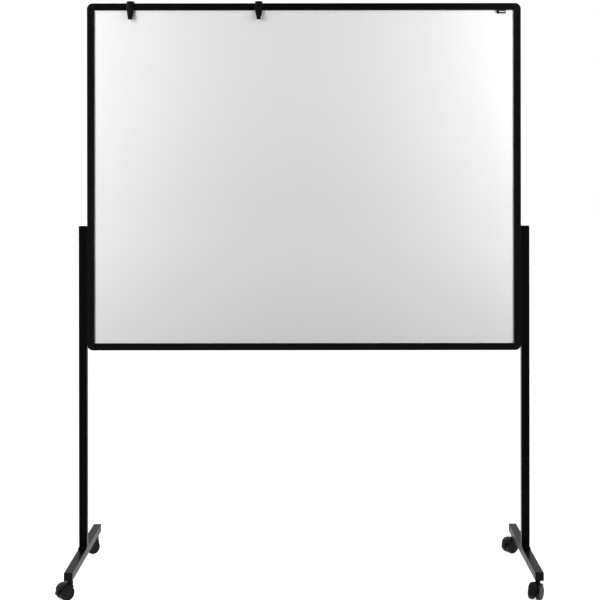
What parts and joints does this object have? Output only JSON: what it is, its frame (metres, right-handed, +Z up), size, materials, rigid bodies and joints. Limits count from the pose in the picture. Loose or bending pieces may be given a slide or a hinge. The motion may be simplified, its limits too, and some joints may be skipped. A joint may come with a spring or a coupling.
{
  "type": "rolling whiteboard",
  "caption": "Framed steel writing board fixed between two posts on tube feet, with sliding pad hooks on the top rail and braked swivelling twin-wheel casters.",
  "frame": {"origin": "on the floor, midway between the posts and under the middle of the board", "axes": "+Z up, +X to the right of the writing surface as a reader sees it, the writing surface faces -Y"},
  "size_m": [1.5953, 0.6132, 1.984],
  "materials": {
    "frame_coat": "satin black powder coat",
    "stand_coat": "semi-gloss black powder coat",
    "corner_plastic": "satin moulded",
    "cap_plastic": "moulded",
    "hook_plastic": "satin moulded",
    "tag_plastic": "smooth",
    "writing_face": "gloss white enamel",
    "back_face": "satin white enamel",
    "core_board": "raw fibreboard",
    "zinc_steel": "zinc plated",
    "dark_steel": "blackened",
    "caster_nylon": "moulded nylon",
    "wheel_nylon": "moulded nylon"
  },
  "bodies": {
    "stand": {"frame_top_rail": "frame_coat", "frame_bottom_rail": "frame_coat", "frame_left_rail": "frame_coat", "frame_right_rail": "frame_coat", "corner_cap_top_left": "corner_plastic", "corner_cap_top_right": "corner_plastic", "corner_cap_bottom_left": "corner_plastic", "corner_cap_bottom_right": "corner_plastic", "front_sheet": "writing_face", "board_core": "core_board", "back_sheet": "back_face", "corner_screws": "dark_steel", "label_tag": "tag_plastic", "board_bolts": "zinc_steel", "board_rivet_nuts": "zinc_steel", "post_hole_plugs": "cap_plastic", "left_post": "stand_coat", "left_post_cap": "cap_plastic", "left_base_plate": "stand_coat", "left_foot": "stand_coat", "right_post": "stand_coat", "right_post_cap": "cap_plastic", "right_base_plate": "stand_coat", "right_foot": "stand_coat", "plate_screws": "dark_steel", "plate_rivet_nuts": "zinc_steel", "caster_inserts": "dark_steel", "front_left_foot_cap": "cap_plastic", "front_right_foot_cap": "cap_plastic", "rear_left_foot_cap": "cap_plastic", "rear_right_foot_cap": "cap_plastic", "front_left_caster_stem": "dark_steel", "front_right_caster_stem": "dark_steel", "rear_left_caster_stem": "dark_steel", "rear_right_caster_stem": "dark_steel"},
    "left_hook": {"left_hook": "hook_plastic"},
    "right_hook": {"right_hook": "hook_plastic"},
    "front_left_caster": {"front_left_caster_hood": "caster_nylon", "front_left_caster_axle": "zinc_steel"},
    "front_left_left_wheel": {"front_left_caster_left_wheel": "wheel_nylon"},
    "front_left_right_wheel": {"front_left_caster_right_wheel": "wheel_nylon"},
    "front_left_pedal": {"front_left_caster_pedal": "caster_nylon"},
    "front_right_caster": {"front_right_caster_hood": "caster_nylon", "front_right_caster_axle": "zinc_steel"},
    "front_right_left_wheel": {"front_right_caster_left_wheel": "wheel_nylon"},
    "front_right_right_wheel": {"front_right_caster_right_wheel": "wheel_nylon"},
    "front_right_pedal": {"front_right_caster_pedal": "caster_nylon"},
    "rear_left_caster": {"rear_left_caster_hood": "caster_nylon", "rear_left_caster_axle": "zinc_steel"},
    "rear_left_left_wheel": {"rear_left_caster_left_wheel": "wheel_nylon"},
    "rear_left_right_wheel": {"rear_left_caster_right_wheel": "wheel_nylon"},
    "rear_left_pedal": {"rear_left_caster_pedal": "caster_nylon"},
    "rear_right_caster": {"rear_right_caster_hood": "caster_nylon", "rear_right_caster_axle": "zinc_steel"},
    "rear_right_left_wheel": {"rear_right_caster_left_wheel": "wheel_nylon"},
    "rear_right_right_wheel": {"rear_right_caster_right_wheel": "wheel_nylon"},
    "rear_right_pedal": {"rear_right_caster_pedal": "caster_nylon"}
  },
  "joints": [
    {"name": "left_hook_slide", "type": "slide", "parent": "stand", "child": "left_hook", "axis": [1, 0, 0], "range_m": [-0.11, 0.2]},
    {"name": "right_hook_slide", "type": "slide", "parent": "stand", "child": "right_hook", "axis": [1, 0, 0], "range_m": [-0.2, 0.78]},
    {"name": "front_left_swivel", "type": "hinge", "parent": "stand", "child": "front_left_caster", "pos_m": [-0.765, -0.265, 0.05], "axis": [0, 0, 1], "continuous": true},
    {"name": "front_left_left_spin", "type": "hinge", "parent": "front_left_caster", "child": "front_left_left_wheel", "pos_m": [-0.78714, -0.26661, 0.025], "axis": [-0.6428, 0.766, 0], "continuous": true},
    {"name": "front_left_right_spin", "type": "hinge", "parent": "front_left_caster", "child": "front_left_right_wheel", "pos_m": [-0.77043, -0.28653, 0.025], "axis": [-0.6428, 0.766, 0], "continuous": true},
    {"name": "front_left_brake", "type": "hinge", "parent": "front_left_caster", "child": "front_left_pedal", "pos_m": [-0.79823, -0.29288, 0.03965], "axis": [0.6428, -0.766, 0], "range_deg": [0, 7.5]},
    {"name": "front_right_swivel", "type": "hinge", "parent": "stand", "child": "front_right_caster", "pos_m": [0.765, -0.265, 0.05], "axis": [0, 0, 1], "continuous": true},
    {"name": "front_right_left_spin", "type": "hinge", "parent": "front_right_caster", "child": "front_right_left_wheel", "pos_m": [0.74474, -0.27409, 0.025], "axis": [-0.866, 0.5, 0], "continuous": true},
    {"name": "front_right_right_spin", "type": "hinge", "parent": "front_right_caster", "child": "front_right_right_wheel", "pos_m": [0.76726, -0.28709, 0.025], "axis": [-0.866, 0.5, 0], "continuous": true},
    {"name": "front_right_brake", "type": "hinge", "parent": "front_right_caster", "child": "front_right_pedal", "pos_m": [0.74331, -0.30256, 0.03965], "axis": [0.866, -0.5, 0], "range_deg": [0, 7.5]},
    {"name": "rear_left_swivel", "type": "hinge", "parent": "stand", "child": "rear_left_caster", "pos_m": [-0.765, 0.265, 0.05], "axis": [0, 0, 1], "continuous": true},
    {"name": "rear_left_left_spin", "type": "hinge", "parent": "rear_left_caster", "child": "rear_left_left_wheel", "pos_m": [-0.78719, 0.26416, 0.025], "axis": [-0.6157, 0.788, 0], "continuous": true},
    {"name": "rear_left_right_spin", "type": "hinge", "parent": "rear_left_caster", "child": "rear_left_right_wheel", "pos_m": [-0.77118, 0.24367, 0.025], "axis": [-0.6157, 0.788, 0], "continuous": true},
    {"name": "rear_left_brake", "type": "hinge", "parent": "rear_left_caster", "child": "rear_left_pedal", "pos_m": [-0.79918, 0.2383, 0.03965], "axis": [0.6157, -0.788, 0], "range_deg": [0, 7.5]},
    {"name": "rear_right_swivel", "type": "hinge", "parent": "stand", "child": "rear_right_caster", "pos_m": [0.765, 0.265, 0.05], "axis": [0, 0, 1], "continuous": true},
    {"name": "rear_right_left_spin", "type": "hinge", "parent": "rear_right_caster", "child": "rear_right_left_wheel", "pos_m": [0.74291, 0.26726, 0.025], "axis": [-0.5, 0.866, 0], "continuous": true},
    {"name": "rear_right_right_spin", "type": "hinge", "parent": "rear_right_caster", "child": "rear_right_right_wheel", "pos_m": [0.75591, 0.24474, 0.025], "axis": [-0.5, 0.866, 0], "continuous": true},
    {"name": "rear_right_brake", "type": "hinge", "parent": "rear_right_caster", "child": "rear_right_pedal", "pos_m": [0.72744, 0.24331, 0.03965], "axis": [0.5, -0.866, 0], "range_deg": [0, 7.5]}
  ]
}
